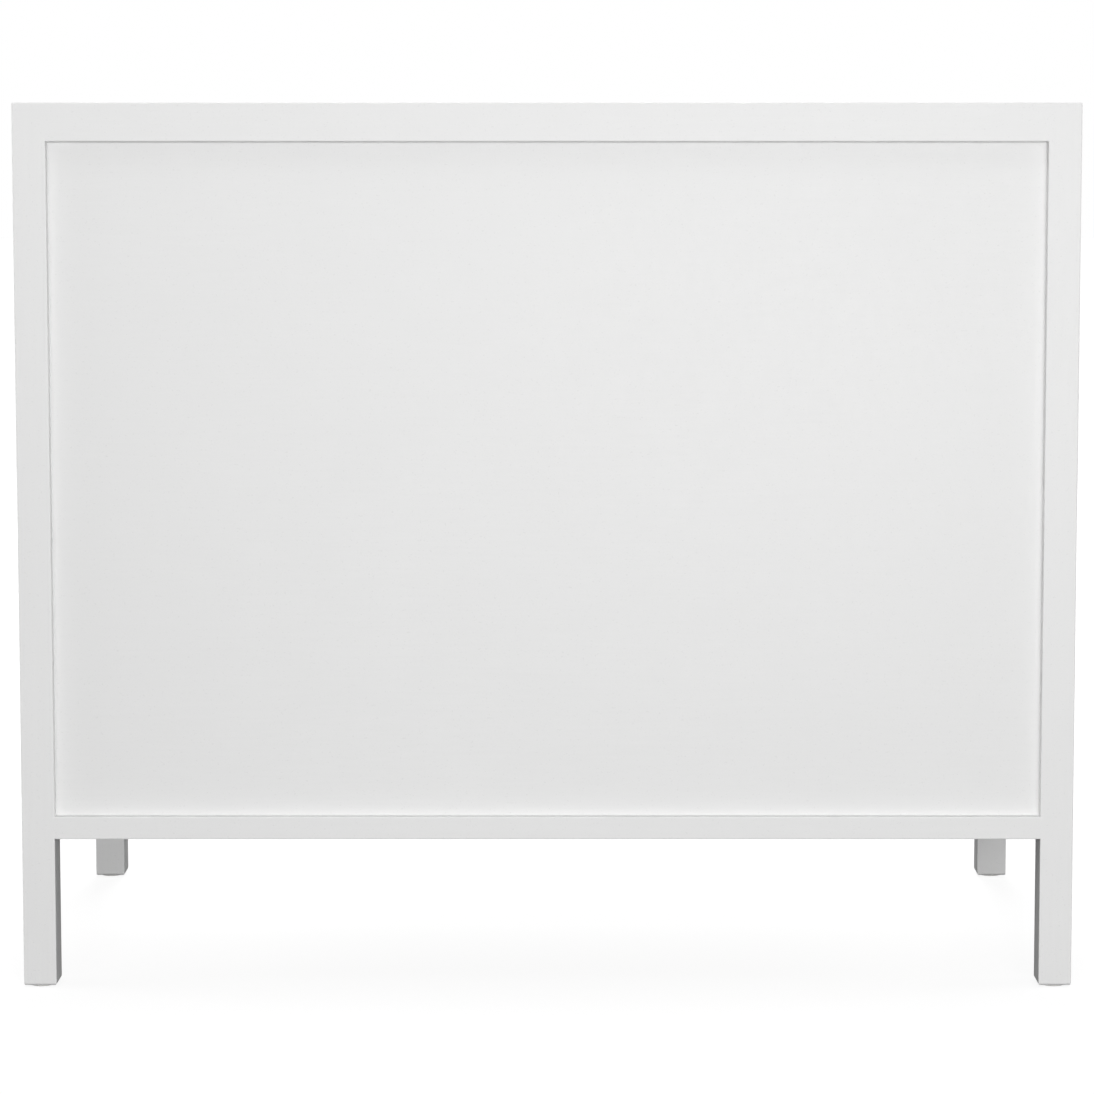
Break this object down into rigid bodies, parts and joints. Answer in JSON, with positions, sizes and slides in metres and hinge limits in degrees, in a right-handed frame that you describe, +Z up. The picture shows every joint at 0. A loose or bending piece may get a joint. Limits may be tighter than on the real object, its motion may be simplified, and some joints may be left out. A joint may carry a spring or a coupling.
{
  "type": "two-door armoire",
  "caption": "Low white lacquered armoire on four square legs, with recessed back and side panels, two inset doors, shelves and a garment rail.",
  "frame": {"origin": "on the floor, midway between the sides and midway between the knobs' tips and the back face", "axes": "+Z up, -Y out of the doors, +Y out of the plain back, +X to the right when facing the doors"},
  "size_m": [1.22, 0.637, 1.026],
  "materials": {
    "lacquer": "white satin lacquer over hardwood frame and panels",
    "interior_lacquer": "white matt lacquer on board",
    "satin_brass": "satin",
    "knob_brass": "brushed satin",
    "brass_screws": "satin",
    "rail_steel": "polished",
    "glide_nylon": "matt",
    "catch_plastic": "matt",
    "magnet": "dull dark ferrite",
    "plate_steel": "zinc plated",
    "pin_steel": "nickel plated",
    "screw_steel": "zinc plated"
  },
  "bodies": {
    "carcass": {"back_panel": "lacquer", "bottom_panel": "interior_lacquer", "carcass_screws": "screw_steel", "catch_housing_left": "catch_plastic", "catch_housing_right": "catch_plastic", "catch_magnet_left": "magnet", "catch_magnet_right": "magnet", "catch_screws": "screw_steel", "garment_rail": "rail_steel", "glide_back_left": "glide_nylon", "glide_back_right": "glide_nylon", "glide_front_left": "glide_nylon", "glide_front_right": "glide_nylon", "hinge_frame_leaf_left_lower": "satin_brass", "hinge_frame_leaf_left_upper": "satin_brass", "hinge_frame_leaf_right_lower": "satin_brass", "hinge_frame_leaf_right_upper": "satin_brass", "hinge_frame_screws": "brass_screws", "hinge_pin_left_lower": "satin_brass", "hinge_pin_left_upper": "satin_brass", "hinge_pin_right_lower": "satin_brass", "hinge_pin_right_upper": "satin_brass", "partition": "interior_lacquer", "post_back_left": "lacquer", "post_back_right": "lacquer", "post_front_left": "lacquer", "post_front_right": "lacquer", "rail_bottom_back": "lacquer", "rail_bottom_front": "lacquer", "rail_bottom_left": "lacquer", "rail_bottom_right": "lacquer", "rail_socket_inner": "rail_steel", "rail_socket_outer": "rail_steel", "rail_socket_screws": "screw_steel", "rail_top_back": "lacquer", "rail_top_front": "lacquer", "rail_top_left": "lacquer", "rail_top_right": "lacquer", "shelf_lower": "interior_lacquer", "shelf_pins": "pin_steel", "shelf_upper": "interior_lacquer", "side_panel_left": "lacquer", "side_panel_right": "lacquer", "top_slab": "lacquer"},
    "door_left_leaf": {"door_left": "lacquer", "door_screws_left": "brass_screws", "hinge_door_leaf_left_lower": "satin_brass", "hinge_door_leaf_left_upper": "satin_brass", "knob_left": "knob_brass", "knob_screw_left": "screw_steel", "strike_plate_left": "plate_steel"},
    "door_right_leaf": {"door_right": "lacquer", "door_screws_right": "brass_screws", "hinge_door_leaf_right_lower": "satin_brass", "hinge_door_leaf_right_upper": "satin_brass", "knob_right": "knob_brass", "knob_screw_right": "screw_steel", "strike_plate_right": "plate_steel"}
  },
  "joints": [
    {"name": "door_left_hinge", "type": "hinge", "parent": "carcass", "child": "door_left_leaf", "pos_m": [-0.571, -0.2952, 0.5915], "axis": [0, 0, -1], "range_deg": [0, 175]},
    {"name": "door_right_hinge", "type": "hinge", "parent": "carcass", "child": "door_right_leaf", "pos_m": [0.571, -0.2952, 0.5915], "axis": [0, 0, 1], "range_deg": [0, 175]}
  ]
}
